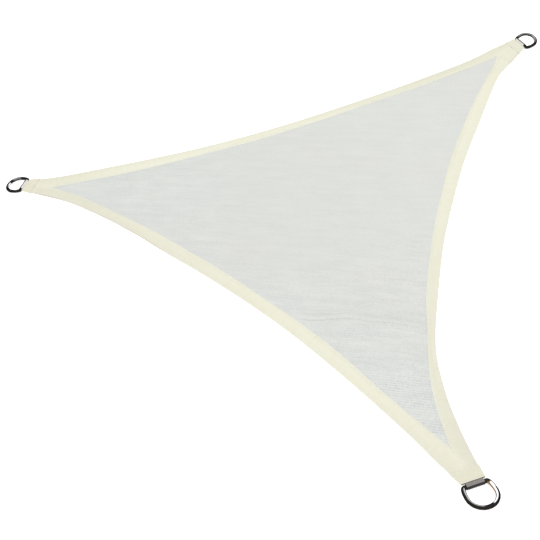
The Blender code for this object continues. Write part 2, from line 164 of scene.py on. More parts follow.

# The panel's sharp creases: points, height of the step, how far it rises before and falls after it (mm),
# how dark its painted shade line is, how far above it a painted highlight runs (mm), and how much painted
# shade lies above that
CREASES = [
    ([(-257, -461), (-221, -485), (-182, -503), (-140, -517), (-106, -532), (-86, -544)],
     1.3, 22, 3.5, 0.95, 10.5, 1.0),
    ([(-104, -534), (-78, -550), (-42, -576), (-3, -594), (31, -614), (50, -629), (86, -651)],
     1.3, 22, 3.5, 0.8, 9, 0.9),
    ([(-628, 452), (-623, 430), (-619, 397), (-612, 370)], 1.0, 18, 4.0, 0.5, 5, 0.4),
    ([(-440, 71), (-410, 50), (-382, 28)], 0.8, 16, 5.0, 0.3, 5, 0.3),
    ([(-416, 8), (-388, -8), (-358, -20)], 0.7, 14, 5.0, 0.28, 5, 0.3),
]

# How open the knit's rows are, by y (mm); it scales the painted shade in the gaps and the painted glints on
# the threads
OPEN_ROWS = [(-1000, 1.1), (-800, 1.1), (-730, 0.5), (-600, 0.55), (-450, 0.26), (-200, 0.25), (0, 0.22),
             (300, 0.22), (600, 0.32)]

# Slow waves of the panel: wavelength (mm), direction (degrees), height (mm), phase
WAVE_ROWS = [(520, 62, 1.3, 0.4), (340, 38, 0.8, 2.1), (210, 84, 0.5, 1.2), (150, 51, 0.35, 4.0),
             (96, 66, 0.2, 5.2), (61, 43, 0.1, 0.9)]

# Each binding: phase of its puckers, how much painted shade greys and cools its outer side (outer, rose),
# folds pressed in (from and to along it in m, share across, depth in mm, and how dark the painted shadow line
# in the groove is), and by share of its length how much greyer it is (dim) and how much painted light
# brightens its hem side
BINDING_LOOKS = {
    "back": {
        "phase": 0.7, "outer": 0.22, "rose": 0.0, "grooves": [],
        "dim": [(0, 0.75), (0.06, 0.65), (0.18, 0.2), (0.3, 0.07), (0.54, 0.1), (0.68, 0.42), (0.85, 0.68),
                (1, 0.6)],
        "pale": [(0, 0.1), (0.15, 0.6), (0.3, 0.75), (0.6, 0.85), (0.85, 0.55), (1, 0.3)],
    },
    "right": {
        "phase": 2.9, "outer": 0.1, "rose": 0.45,
        "grooves": [(0.04, 0.14, 0.965, 0.2, 0.5), (1.22, 1.86, 0.6, 0.0, 0.13)],
        "dim": [(0, 0.5), (0.08, 0.14), (0.2, 0), (0.5, 0.1), (0.7, 0.3), (0.85, 0.38), (0.96, 0.85),
                (1, 0.9)],
        "pale": [(0, 0), (0.2, 0.2), (0.5, 0.3), (0.68, 0.8), (0.82, 0.95), (0.93, 0.5), (1, 0.2)],
    },
    "front": {
        "phase": 4.4, "outer": 0.18, "rose": 0.4,
        "grooves": [(1.27, 1.48, 0.965, 0.2, 0.8), (1.53, 1.68, 0.95, 0.2, 0.5),
                    (1.79, 1.90, 0.96, 0.25, 0.9)],
        "dim": [(0, 0.5), (0.06, 0.3), (0.2, 0), (0.45, 0.12), (0.6, 0.38), (0.82, 0.72), (0.9, 1.0),
                (1, 1.08)],
        "pale": [(0, 0.3), (0.3, 0.4), (0.7, 0.4), (1, 0.3)],
    },
}

# Strips of other tone across a pocket: tone, distance behind its point, half its width, amount
POCKET_BANDS = {
    "left": [("rose", 5, 4, 0.7), ("warm", 19, 9, 0.7), ("warm", 36, 2.5, 0.35)],
    "far": [("rose", 5, 4, 0.3)],
    "near": [("warm", 26, 6, 0.15), ("warm", 13, 5, 0.30)],
}
POCKET_DIM = {"left": 0.75, "far": 0.6, "near": 0.7}

# The camera: place from the sail's middle, turn (degrees), lens and sensor (mm)
CAMERA_PLACE = Vector((-0.5191, -2.1861, 1.9154))
CAMERA_TURN = (45.13, 8.469, -15.711)
CAMERA_LENS = 57.99
CAMERA_SENSOR = 36.0


def unit(degrees):
    """A flat unit vector in a direction."""
    angle = math.radians(degrees)
    return np.array([math.cos(angle), math.sin(angle)])


def length_one(vectors):
    """Vectors scaled to a length of 1."""
    return vectors / np.linalg.norm(vectors, axis=-1, keepdims=True)


def smooth(value):
    """A soft step from 0 to 1."""
    value = np.clip(value, 0.0, 1.0)
    return value * value * (3 - 2 * value)


def bell(value):
    """A bell curve, 1 at 0."""
    return np.exp(-value ** 2)


def run_length(points):
    """Distance along a line of points, from its start."""
    return np.concatenate([[0], np.cumsum(np.linalg.norm(np.diff(points, axis=0), axis=1))])


def resample(places, known, line):
    """Points of a line at places, where its own points are at known ones."""
    return np.column_stack([np.interp(places, known, column) for column in line.T])


def evenly(line, count):
    """A line resampled to even steps."""
    lengths = run_length(line)
    return resample(np.linspace(0, lengths[-1], count), lengths, line)


def through(points, count):
    """Even steps along a smooth curve through points (Catmull-Rom)."""
    points = np.array(points, dtype=float)
    padded = np.vstack([2 * points[0] - points[1], points, 2 * points[-1] - points[-2]])
    curve = [points[0]]
    for p0, p1, p2, p3 in zip(padded, padded[1:], padded[2:], padded[3:]):
        for t in np.linspace(0, 1, CURVE_STEPS + 1)[1:]:
            curve.append(0.5 * (2 * p1 + (p2 - p0) * t + (2 * p0 - 5 * p1 + 4 * p2 - p3) * t ** 2
                                + (3 * p1 - p0 - 3 * p2 + p3) * t ** 3))
    return evenly(np.array(curve), count)


def rise(distance):
    """Height of the cloth's underside at a distance from a corner point."""
    return np.interp(distance, *(np.array(RISE_ROWS) * MM).T)


class Corner:
    """A corner, with a local frame: across the ring's bar, and out of the sail."""

    def __init__(self, name, direction, heading, shift_x, shift_y, back, side, twist, slack, ring_side, lean):
        self.name = name
        self.vertex = SIDE / math.sqrt(3) * unit(direction)
        self.point = self.vertex + np.array([shift_x, shift_y]) * MM
        self.out = unit(heading)
        self.across = np.array([self.out[1], -self.out[0]])
        self.slope, self.lean = (math.tan(math.radians(angle)) for angle in (twist, lean))
        self.turn = math.cos(math.radians(twist))
        self.tip_back, self.tip_side, self.ring_side = back * MM, side * MM, ring_side * MM
        self.panel_tip = self.place(self.tip_side, -self.tip_back)
        self.bar_out = RING_WIRE / 2 + slack * MM

    def local(self, xy):
        """Distances across the corner and out of it."""
        offset = xy - self.point
        return offset @ self.across, offset @ self.out

    def place(self, across, out):
        """Flat positions of local places."""
        return self.point + np.multiply.outer(across, self.across) + np.multiply.outer(out, self.out)

    def tilt(self, across, out):
        """Height that the corner's twist adds, less and less towards the sail."""
        fade = 1 - smooth(np.maximum(-out, 0.0) / TWIST_FADE)
        return np.maximum(RING_WIDTH / 2 - across, 0.0) * self.slope * fade

    def lift(self, xy):
        """How far the corner holds the cloth off the floor there."""
        across, out = self.local(xy)
        aside = np.maximum(np.abs(across) - RING_WIDTH / 2, 0.0)
        return rise(np.hypot(np.maximum(-out, 0.0), aside)) + self.tilt(across, out)


class Edge:
    """One curved edge: matching stations on its binding's inner and outer lines."""

    def __init__(self, name, corners):
        self.name = name
        self.ends = [corners[end] for end in EDGE_ENDS[name]]
        first, second = self.ends
        self.start = first.vertex
        self.along = (second.vertex - first.vertex) / SIDE
        self.inward = length_one(-(first.vertex + second.vertex))
        along, inset, width, ridge = np.array(EDGE_ROWS[name]).T * MM
        self.ridge_rows = (along, ridge)
        outer = self.at(along, inset)
        tips = [corner.place(math.copysign(TIP_HALF, corner.local(point)[0]), 0.0)
                for corner, point in ((first, outer[0]), (second, outer[-1]))]
        self.outer = through([tips[0], *outer, tips[1]], OUTLINE_STEPS)
        low, high = (self.reach(corner.panel_tip) for corner in self.ends)
        inner = [point for point in self.at(along, inset + width)
                 if low + TIP_CLEAR < self.reach(point) < high - TIP_CLEAR]
        self.inner = through([first.panel_tip, *inner, second.panel_tip], STATIONS + 1)
        self.opposite = resample(self.reach(self.inner), self.reach(self.outer), self.outer)

    def at(self, along, inset):
        """Flat positions along the edge's straight line and inwards."""
        return self.start + np.outer(along, self.along) + np.outer(inset, self.inward)

    def reach(self, points):
        """Distance along the edge's straight line."""
        return (points - self.start) @ self.along

    def outer_behind(self, corner, back):
        """The outer line at a distance behind a corner's point."""
        out = corner.local(self.outer)[1]
        half = len(out) // 2
        part = slice(None, half) if corner is self.ends[0] else slice(None, half, -1)
        return resample([back], -out[part], self.outer[part])[0]

    def mitre(self, corner, back):
        """The binding's two edges near a corner, where two bindings meet."""
        outer = self.outer_behind(corner, back)
        seam = corner.tip_side * (back - BINDING_END) / (corner.tip_back - BINDING_END)
        seam += math.copysign(MITRE_GAP / 2, corner.local(outer)[0])
        return corner.place(seam, -back), outer

    def stations(self):
        """Inner and outer points along the binding, from corner to corner."""
        first, second = ([self.mitre(corner, back)
                          for back in np.linspace(BINDING_END, corner.tip_back, MITRE_STEPS + 1)[:-1]]
                         for corner in self.ends)
        pairs = [*first, *zip(self.inner, self.opposite), *second[::-1]]
        return [np.array(line) for line in zip(*pairs)]

    def ridge(self, inner):
        """Height of the binding's ridge at its stations."""
        return np.interp(self.reach(inner), *self.ridge_rows, left=0.0, right=0.0)


def near_line(xy, line):
    """Distance of places to a line, share along it, and side (+1 to its left)."""
    spans, lengths = np.diff(line, axis=0), run_length(line)
    offsets = xy[:, None] - line[:-1]
    t = np.clip(np.sum(offsets * spans, axis=2) / np.sum(spans ** 2, axis=1), 0.0, 1.0)
    away = np.linalg.norm(offsets - t[..., None] * spans, axis=2)
    best = np.arange(len(xy)), np.argmin(away, axis=1)
    share = (lengths[:-1] + t * np.diff(lengths)) / lengths[-1]
    cross = spans[:, 0] * offsets[..., 1] - spans[:, 1] * offsets[..., 0]
    return away[best], share[best], np.sign(cross[best])


def fold_height(xy):
    """Height of the panel's soft ridges."""
    height = np.zeros(len(xy))
    for x1, y1, x2, y2, high, half_width in FOLD_ROWS:
        distance, share, _ = near_line(xy, np.array([(x1, y1), (x2, y2)]) * MM)
        swell = FOLD_ENDS + (1 - FOLD_ENDS) * np.sin(np.pi * share)
        height += high * MM * bell(distance / (half_width * MM)) * swell
    return height


def wave_height(xy):
    """Height of the slow waves in which slack cloth lies, from 0 up."""
    height = np.zeros(len(xy))
    for period, direction, high, phase in WAVE_ROWS:
        turns = xy @ unit(direction) / (period * MM)
        turns += 0.18 * np.sin(2 * np.pi * (xy @ unit(direction + 90)) / (2.3 * period * MM))
        height += high * MM * (0.5 + 0.5 * np.sin(2 * np.pi * turns + phase))
    return height


def crease_relief(xy):
    """Height of the sharp creases, with the painted shade in and beside them and the painted highlight along
    them.
    """
    height, dark, light = np.zeros((3, len(xy)))
    for points, high, climb, fall, depth, ledge, hollow in CREASES:
        distance, share, side = near_line(xy, through(np.array(points) * MM, 40))
        signed = distance * side
        ends = smooth(np.minimum(share, 1 - share) / 0.12)
        before = np.exp(-np.maximum(signed, 0) / (climb * MM))
        after = 1 - smooth(-signed / (fall * MM))
        height += high * MM * np.where(signed > 0, before, after) * ends
        # Painted shade in the crease's line and in the hollow above it, painted highlight on the ledge
        # between
        line_painted_shade = depth * bell((signed + 0.4 * fall * MM) / (1.5 * MM))
        hollow_painted_shade = 0.3 * hollow * bell((signed / MM - 2.2 * ledge) / (0.8 * ledge))
        dark = np.maximum(dark, np.maximum(line_painted_shade, hollow_painted_shade) * ends)
        light = np.maximum(light, depth * bell((signed / MM - ledge) / 1.5) * ends)
    return height, dark, light


def ground(xy):
    """Height of the lowest cloth above the floor."""
    return np.max([corner.lift(xy) for corner in SAIL.corners.values()], axis=0)


def underside(share, base_in, base_out, ridge):
    """Height of a binding's underside at places across it."""
    return base_in + share * (base_out - base_in) + ridge * (1 - abs(share - MIDDLE) / MIDDLE)


def ring_line(steps=24):
    """Centre line of a D ring, across and out of the corner."""
    half_bar = RING_BAR / 2
    half_width = (RING_WIDTH - RING_WIRE) / 2
    bow = RING_DEPTH - RING_WIRE - RING_WAIST
    turns = [unit(angle) for angle in np.linspace(90, 0, steps // 4 + 1)]
    rounding = [(half_bar + (half_width - half_bar) * x, RING_WAIST * (1 - y)) for x, y in turns[1:]]
    arc = [unit(angle) for angle in np.linspace(0, 180, steps + 1)[1:-1]]
    line = [(across, 0.0) for across in np.linspace(-half_bar, half_bar, steps // 4 + 1)]
    line += rounding
    line += [(half_width * x, RING_WAIST + bow * y) for x, y in arc]
    line += [(-across, out) for across, out in reversed(rounding)]
    return np.array(line + line[:1])


def ring_centre(corner, line):
    """A ring's centre line: out from the corner, resting on its far side."""
    out = line[:, 1]
    across = corner.ring_side + (line[:, 0] + corner.lean * out) * corner.turn
    drop = (BAR_HEIGHT - RING_WIRE / 2) / (RING_DEPTH - RING_WIRE)
    height = BAR_HEIGHT - drop * out + corner.tilt(across, out)
    return np.column_stack([corner.place(across, corner.bar_out + out), height])


class Sail:
    """The outlines that all pieces share, and the sail's middle in the frame."""

    def __init__(self):
        self.corners = {name: Corner(name, *row) for name, row in CORNER_ROWS.items()}
        self.edges = {name: Edge(name, self.corners) for name in EDGE_ENDS}
        low, high = (np.array(corner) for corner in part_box("ring_near"))
        ring = ring_centre(self.corners["near"], ring_line())
        middle = (ring.min(axis=0) + ring.max(axis=0)) / 2
        self.origin = np.array([*((low + high) / 2 - middle)[:2], 0.0])


SAIL = Sail()


def add_object(name, data):
    """Link an object with some data."""
    obj = bpy.data.objects.new(name, data)
    bpy.context.collection.objects.link(obj)
    return obj


def declare(obj, node=None):
    """A piece rides on the sail's one body, and may stand for a solid."""
    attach(obj, "root")
    if node:
        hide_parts(node)
    return obj


def finish_piece(mesh, material, node, sharp=50):
    """Make a mesh a declared piece, faces outward and shaded smooth."""
    bm = bmesh.new()
    bm.from_mesh(mesh)
    bmesh.ops.recalc_face_normals(bm, faces=bm.faces[:])
    bm.to_mesh(mesh)
    bm.free()
    mesh.shade_smooth()
    mesh.set_sharp_from_angle(angle=math.radians(sharp))
    mesh.materials.append(material)
    return declare(add_object(mesh.name, mesh), node)


def mesh_from(name, points, edges, faces, tones=None):
    """A mesh from points in the sail's own frame, with named tones per point."""
    mesh = bpy.data.meshes.new(name)
    mesh.from_pydata((np.asarray(points) + SAIL.origin).tolist(), edges, faces)
    for tone, values in (tones or {}).items():
        attribute = mesh.attributes.new(tone, "FLOAT", "POINT")
        attribute.data.foreach_set("value", np.asarray(values, dtype=np.float32).ravel())
    return mesh


def skin(name, grid, along, across, close_a=False, tones=None):
    """A closed body from a grid of points: sections along a, each a closed line of points along b.

    An open end along a is capped. Its UV map holds distances along a and b, up to where they close.
    """
    count_a, count_b = grid.shape[:2]
    faces, corners = [], []
    for i in range(count_a if close_a else count_a - 1):
        for j in range(count_b):
            k, m = (i + 1) % count_a, (j + 1) % count_b
            faces.append((i * count_b + j, i * count_b + m, k * count_b + m, k * count_b + j))
            corners += [(i, j), (i, j + 1), (i + 1, j + 1), (i + 1, j)]
    if not close_a:
        for i, order in ((0, range(count_b)), (count_a - 1, range(count_b - 1, -1, -1))):
            faces.append(tuple(i * count_b + j for j in order))
            corners += [(i, j) for j in order]
    mesh = mesh_from(name, grid.reshape(-1, 3), [], faces, tones)
    a, b = np.array(corners).T
    uv = np.column_stack([np.asarray(along)[a], np.asarray(across)[b]])
    mesh.uv_layers.new(name="cloth").data.foreach_set("uv", uv.astype(np.float32).ravel())
    return mesh


# The knitted panel


def panel_grid():
    """Flat positions on a triangular grid that follows the three edges."""
    lines = [SAIL.edges[name].inner for name in ("back", "right", "front")]
    keys = [(i, j) for i in range(STATIONS + 1) for j in range(STATIONS + 1 - i)]
    b, c = np.array(keys).T / STATIONS
    a = 1 - b - c
    place = sum(np.outer(share, line[0]) for share, line in zip((a, b, c), lines))
    for line, start, end in zip(lines, (a, b, c), (b, c, a)):
        total = start + end
        share = np.divide(end, total, out=np.zeros_like(end), where=total > 1e-9)
        straight = line[0] + np.outer(share, line[-1] - line[0])
        place += total[:, None] * (resample(share * STATIONS, np.arange(STATIONS + 1), line) - straight)
    return keys, place


def panel_sheet():
    """The panel's flat top sheet, with finer faces along the sharp creases."""
    keys, place = panel_grid()
    index = {key: number for number, key in enumerate(keys)}
    bm = bmesh.new()
    verts = [bm.verts.new((x, y, 0.0)) for x, y in place]
    for i in range(STATIONS):
        for j in range(STATIONS - i):
            bm.faces.new([verts[index[key]] for key in ((i, j), (i + 1, j), (i, j + 1))])
            if i + j < STATIONS - 1:
                bm.faces.new([verts[index[key]] for key in ((i + 1, j), (i + 1, j + 1), (i, j + 1))])
    for reach in (24 * MM, 12 * MM):
        bm.verts.index_update()
        flat = np.array([vert.co[:2] for vert in bm.verts])
        near = [near_line(flat, np.array(crease[0]) * MM)[0] < reach for crease in CREASES]
        close = np.any(near, axis=0)
        inside = [edge for edge in bm.edges if all(close[vert.index] for vert in edge.verts)]
        bmesh.ops.subdivide_edges(bm, edges=inside, cuts=1, use_grid_fill=True)
    bmesh.ops.triangulate(bm, faces=[face for face in bm.faces if len(face.verts) > 4])
    bm.verts.index_update()
    flat = np.array([vert.co[:2] for vert in bm.verts])
    sheet = [[vert.index for vert in face.verts] for face in bm.faces]
    bm.free()
    return flat, sheet, index


def build_panel(sizes, material):
    """The knitted panel: a slack sheet with waves and creases, tucked into the bindings."""
    flat, sheet, index = panel_sheet()
    far_in = np.min([near_line(flat, edge.inner[::4])[0] for edge in SAIL.edges.values()], axis=0)
    rest = ground(flat)
    # The creases' painted shade (dark) and painted highlight (light), kept as tones
    creases, dark, light = crease_relief(flat)
    level = TUCKED * (1 - smooth(far_in / (26 * MM)))
    loose = smooth(far_in / (150 * MM)) * (fold_height(flat) + sizes.slack * wave_height(flat))
    low = rest + level + loose + smooth(far_in / (14 * MM)) * creases
    points, outer_walls, count = [], [], len(flat)
    for side, keys in {
        "back": lambda i: (i, 0), "right": lambda i: (STATIONS - i, i), "front": lambda i: (0, STATIONS - i),
    }.items():
        edge = SAIL.edges[side]
        base_in, base_out = ground(edge.inner), ground(edge.opposite)
        rim = [index[keys(i)] for i in range(STATIONS + 1)]
        low[rim] = rest[rim] + TUCKED
        lines = [rim]
        for share in (0.12, 0.3, MIDDLE, 0.7, PANEL_REACH):
            place = edge.inner + share * (edge.opposite - edge.inner)
            height = underside(share, base_in, base_out, edge.ridge(edge.inner)) + TUCKED
            points.append(np.column_stack([place, height]))
            lines.append(list(range(count, count + len(place))))
            count += len(place)
        for inner, outer in zip(lines, lines[1:]):
            sheet += [[inner[k], outer[k], outer[k + 1], inner[k + 1]] for k in range(STATIONS)]
        outer_walls.append(lines)
    low_points = np.vstack([np.column_stack([flat, low]), *points])
    faces = sheet + [[number + count for number in face][::-1] for face in sheet]
    for lines in outer_walls:
        last = lines[-1]
        rims = list(zip(last, last[1:]))
        rims += [(inner[end], outer[end]) for end in (0, -1) for inner, outer in zip(lines, lines[1:])]
        faces += [[start, end, end + count, start + count] for start, end in rims]
    x, y = low_points[:, :2].T
    tucked_in = np.zeros(count - len(flat))
    places, shares = np.array(OPEN_ROWS).T
    tones = {
        "crease": np.concatenate([dark, tucked_in]),
        "crease_painted_highlight": np.concatenate([light, tucked_in]),
        "open": np.interp(y, places * MM, shares),
        "grey": np.clip(0.35 - 0.75 * x, 0.0, 1.0),
        "life": 0.42 + 0.4 * smooth((-0.15 - x) / 0.4) + 0.58 * smooth((-0.1 - y) / 0.4),
    }
    mesh = mesh_from("knit_panel_cloth", np.vstack([low_points, low_points + [0, 0, PANEL_THICK]]), [], faces,
                     {tone: np.tile(values, 2) for tone, values in tones.items()})
    obj = finish_piece(mesh, material, "knit_panel", 75)


# Bindings


def binding_profile():
    """Shares across and heights of the folded binding, round its section."""
    leg, lip, under = BINDING_THICK, STACK - LIP_TAPER, STACK - BINDING_THICK
    low = [(share, 0.0) for share in (0.02, 0.15, 0.3, 0.4, 0.5, 0.6, 0.72, 0.84, FOLD_START)]
    turn = [(FOLD_START + (1 - FOLD_START) * math.cos(a), STACK / 2 + STACK / 2 * math.sin(a))
            for a in np.linspace(-math.pi / 2, math.pi / 2, 9)[1:-1]]
    top = [(share, STACK - LIP_TAPER * (1 - smooth(share / LIP_SHARE)))
           for share in (FOLD_START, 0.91, 0.88, 0.85, 0.8, 0.72, 0.65, 0.58, 0.54, 0.5, 0.46, 0.42, 0.36,
                         0.3, 0.24, 0.2, 0.16, 0.12, 0.1, 0.08, 0.06, 0.04, 0.025, 0.01)]
    rim = [(0.003, lip - 0.05 * MM), (0.0, lip - 0.16 * MM), (0.004, under - LIP_DROP),
           (0.03, under - LIP_DROP)]
    slot = [(share, under) for share in (0.08, 0.15, 0.3, MIDDLE, 0.7, SLOT_END)]
    slot += [(share, leg) for share in (SLOT_END, 0.7, MIDDLE, 0.3, 0.15, 0.02)]
    end = [(0.006, leg * 0.85), (0.0, leg * 0.5), (0.006, leg * 0.15)]
    return np.array(low + turn + top + rim + slot + end)


def build_binding(name, edge, sizes, material):
    """One edge's binding: cream cloth folded round the panel's edge, with soft life in it."""
    looks = BINDING_LOOKS[edge.name]
    phase = looks["phase"]
    inner, outer = edge.stations()
    along = run_length((inner + outer) / 2)
    reach = edge.reach((inner + outer) / 2)
    share_along = along / along[-1]
    pucker = sizes.pucker * np.sin(2 * np.pi * along / 0.0165 + 1.8 * np.sin(along * 37 + phase))
    pucker *= 0.6 + 0.4 * np.sin(along * 23 + phase)
    drift = 0.8 * MM * np.sin(along * 19 + phase) + 0.5 * MM * np.sin(along * 47 + 2 * phase)
    ends = smooth(np.minimum(along, along[-1] - along) / 0.18)
    profile = binding_profile()
    shares, heights = profile.T
    upper = smooth((heights / STACK - 0.55) / 0.2)
    flat = inner[:, None] + shares[:, None] * (outer - inner)[:, None]
    flat -= (shares < 0.02)[:, None] * (drift * ends * 0.5)[:, None, None] * edge.inward
    bases = [line[:, None] for line in (ground(inner), ground(outer), edge.ridge(inner))]
    crown = 0.6 * MM * np.sin(np.pi * shares) ** 2
    crown -= 0.2 * MM * sum(bell((shares - seam) / 0.03) for seam in HEM_SEAMS)
    wave = 0.5 * MM * np.sin(along[:, None] * 11 + 5 * shares + phase) * np.sin(np.pi * shares)
    z = underside(shares, *bases) + heights
    z += upper * (crown + (pucker * ends)[:, None] * bell((shares - 0.1) / 0.16) + ends[:, None] * wave)
    tan = np.zeros(z.shape)
    # Each groove is pressed in and gets a painted shadow line
    for start, stop, groove_share, depth, dark in looks["grooves"]:
        window = smooth((reach - start) / 0.05) * (1 - smooth((reach - stop) / 0.05))
        groove = upper * window[:, None] * bell((shares - groove_share) / 0.022)
        z -= groove * depth * MM
        tan = np.maximum(tan, groove * dark)
    # Greyer by share of length (dim), painted shade on the outer side (outer, rose), painted light on the hem
    # side
    dim = np.interp(share_along, *zip(*looks["dim"]))[:, None]
    pale = np.interp(share_along, *zip(*looks["pale"]))[:, None]
    tones = {
        "tan": tan,
        "rose": looks["rose"] * np.clip(dim * 1.4, 0, 1) * smooth((shares - 0.6) / 0.2),
        "dim": dim + looks["outer"] * smooth((shares - 0.45) / 0.3),
        "pale": pale * (1 - smooth((shares - 0.06) / 0.36)),
    }
    section = np.vstack([profile, profile[:1]]) * [0.047, 1]
    mesh = skin(name, np.dstack([flat, z]), along, run_length(section), tones=tones)
    obj = finish_piece(mesh, material, "binding_" + edge.name)


# Corner pockets


def pocket_reach(corner, back):
    """How far the bindings reach to either side of a corner's middle line."""
    reach = {}
    for edge in SAIL.edges.values():
        if corner in edge.ends:
            across = float(corner.local(edge.outer_behind(corner, back))[0])
            reach[math.copysign(1, across)] = abs(across)
    return reach[-1.0] + POCKET_SIDE, reach[1.0] + POCKET_SIDE


def pocket_swell(across, back):
    """Life in the pocket's cloth: soft pulls towards the ring and shallow seams."""
    pull = 0.35 * MM * np.sin(across / (6.1 * MM) + 9 * back / (39 * MM))
    return pull - 0.3 * MM * sum(bell((back - seam) / (1.6 * MM)) for seam in POCKET_SEAMS)


def pocket_section(corner, back, thick):
    """A pocket's section: its outside, or its inside where thick is 0."""
    minus, plus = pocket_reach(corner, back)
    tall = STACK / 2 + POCKET_ROOM + thick
    upper = np.linspace(-minus + tall * 0.6, plus - tall * 0.6, POCKET_STEPS)
    turn = math.pi / 2 - np.arange(1, 8) * math.pi / 8
    bulge, fall = (tall * 0.6 + thick) * np.cos(turn), tall * np.sin(turn)
    across = np.concatenate([upper, plus - tall * 0.6 + bulge, upper[::-1], -minus + tall * 0.6 - bulge])
    level = np.full(POCKET_STEPS, tall)
    top = level + pocket_swell(upper, back) if thick else level
    height = rise(back) + STACK / 2 + np.concatenate([top, fall, -level, -fall])
    return np.column_stack([corner.place(across, -back), height + corner.tilt(across, -back)])


def build_pocket(name, corner, material):
    """The corner pocket: a flat sleeve of cloth over the bindings' ends."""
    backs = np.concatenate([np.linspace(POCKET_BACK, 27 * MM, 14), np.linspace(25 * MM, POCKET_MOUTH, 18)])
    both = np.concatenate([backs, backs[::-1]])
    thicks = [POCKET_THICK] * len(backs) + [0.0] * len(backs)
    grid = np.array([pocket_section(corner, back, thick) for back, thick in zip(both, thicks)])
    around = np.linspace(0, 0.18, grid.shape[1] + 1)
    run = np.concatenate([backs, backs[::-1] + 0.001, backs[:1]])
    tones = {tone: np.zeros(grid.shape[:2]) for tone in ("tan", "rose", "warm")}
    for tone, place, half, amount in POCKET_BANDS[corner.name]:
        band = amount * np.exp(-((both / MM - place) / half) ** 4)
        tones[tone] = np.maximum(tones[tone], band[:, None])
    tones["dim"] = np.full(grid.shape[:2], POCKET_DIM[corner.name])
    mesh = skin(name, grid, run, around, close_a=True, tones=tones)
    obj = finish_piece(mesh, material, "pocket_" + corner.name)
    minus, plus = pocket_reach(corner, 20 * MM)


# Webbing


def build_loop(name, corner, material):
    """Webbing that goes round the ring's bar, with both ends inside the pocket."""
    angles = np.radians(np.linspace(LOOP_TURN, -LOOP_TURN, 41))
    inner_radius = RING_WIRE / 2 + FIT_GAP

    def round_bar(radius):
        return [(corner.bar_out + radius * math.cos(a), BAR_HEIGHT + radius * math.sin(a)) for a in angles]

    def leg(back, offset):
        return (-back, float(rise(back)) + STACK / 2 + offset)

    near, away = FIT_GAP / 2, FIT_GAP / 2 + LOOP_THICK
    mouth, tail = LOOP_START, LOOP_START + LOOP_LEG
    outline = np.array([leg(tail, away), leg(mouth, away), *round_bar(inner_radius + LOOP_THICK),
                        leg(mouth, -away), leg(tail, -away), leg(tail, -near), leg(mouth, -near),
                        *reversed(round_bar(inner_radius)), leg(mouth, near), leg(tail, near)])
    out, height = outline.T
    turned = np.degrees(np.arctan2(height - BAR_HEIGHT, out - corner.bar_out))
    shade, fade = LOOP_SHADE[corner.name]
    half, edge = LOOP_WIDTH / 2, LOOP_WIDTH / 2 - 0.5 * MM
    acrosses = np.array([-half, *np.linspace(-edge, edge, 25), half])
    grid = [np.column_stack([corner.place(across, out), height + corner.tilt(across, out)])
            for across in acrosses]
    run = run_length(np.vstack([outline, outline[:1]]))
    # Painted shade: the webbing's colour darkens where it turns under the bar
    painted_under_shade = np.tile(1 - smooth((turned - shade) / fade), (len(acrosses), 1))
    mesh = skin(name, np.array(grid), acrosses, run, tones={"painted_under_shade": painted_under_shade})
    obj = finish_piece(mesh, material, "loop_" + corner.name, 35)


# Rings


def build_ring(name, corner, material):
    """A welded D ring of round steel wire, dark plating with painted reflections: light and amber bands in
    its colour.
    """
    line = evenly(ring_line(72), 241)[:-1]
    line = (line + np.roll(line, 1, axis=0) + np.roll(line, -1, axis=0)) / 3
    centre = ring_centre(corner, line)
    tangent = length_one(np.roll(centre, -1, axis=0) - np.roll(centre, 1, axis=0))
    normal = length_one(np.array([*(-corner.slope * corner.across), 1.0]))
    side = length_one(np.cross(tangent, normal))
    side *= np.sign(np.sum(side * (centre - centre.mean(axis=0)), axis=1))[:, None]
    up = length_one(normal - (tangent @ normal)[:, None] * tangent)
    around = np.linspace(0, 360, 37)[:-1]
    turned = np.radians(around)[:, None]
    grid = centre[:, None] + RING_WIRE / 2 * (np.cos(turned) * side[:, None] + np.sin(turned) * up[:, None])
    heading = np.degrees(np.arctan2(line[:, 1] - RING_WAIST, line[:, 0]))
    heading = np.where(heading < -90, heading + 360, heading)[:, None]
    # Painted reflections: light and amber bands laid into the wire's colour, round it and along it
    tones = {"painted_glint": np.zeros(grid.shape[:2]), "painted_amber_glint": np.zeros(grid.shape[:2])}
    for start, stop, soft, wire, half, tone, amount in RING_PAINTED_REFLECTIONS[corner.name]:
        window = smooth((heading - start) / soft) * smooth((stop - heading) / soft)
        bent = (around - wire + 180) % 360 - 180
        band = window * (1 - smooth((np.abs(bent) / half - 0.5) / 0.7)) * amount
        tones[tone] = np.maximum(tones[tone], band)
    run = run_length(np.vstack([centre, centre[:1]]))
    mesh = skin(name, grid, run, np.linspace(0, math.pi * RING_WIRE, 37), close_a=True, tones=tones)
    finish_piece(mesh, material, "ring_" + corner.name, 80)


# Nodes


def operator(operation, swap=False):
    """A Python operator that adds a Math node."""
    def method(self, other):
        return self.math(operation, *((other, self) if swap else (self, other)))
    return method


class Value:
    """A node socket that takes part in Python expressions."""
    __add__ = __radd__ = operator("ADD")
    __sub__ = operator("SUBTRACT")
    __rsub__ = operator("SUBTRACT", swap=True)
    __mul__ = __rmul__ = operator("MULTIPLY")
    __truediv__ = operator("DIVIDE")
    __pow__ = operator("POWER")

    def __init__(self, nodes, socket):
        self.nodes = nodes
        self.socket = socket

    def math(self, operation, *values):
        return self.nodes.node("ShaderNodeMath", {"operation": operation}, dict(enumerate(values)))

    def wave(self, period):
        """A cosine of this value from 0 to 1, with a period."""
        return self.math("COSINE", self * (2 * math.pi / period)) * 0.5 + 0.5

    def clamp(self):
        return self.math("MINIMUM", self.math("MAXIMUM", self, 0.0), 1.0)

    def ramp(self, start, gain):
        """A soft mask: rises from 0 at start, or falls to 0 there with a negative gain."""
        return ((self - start) * gain).clamp()


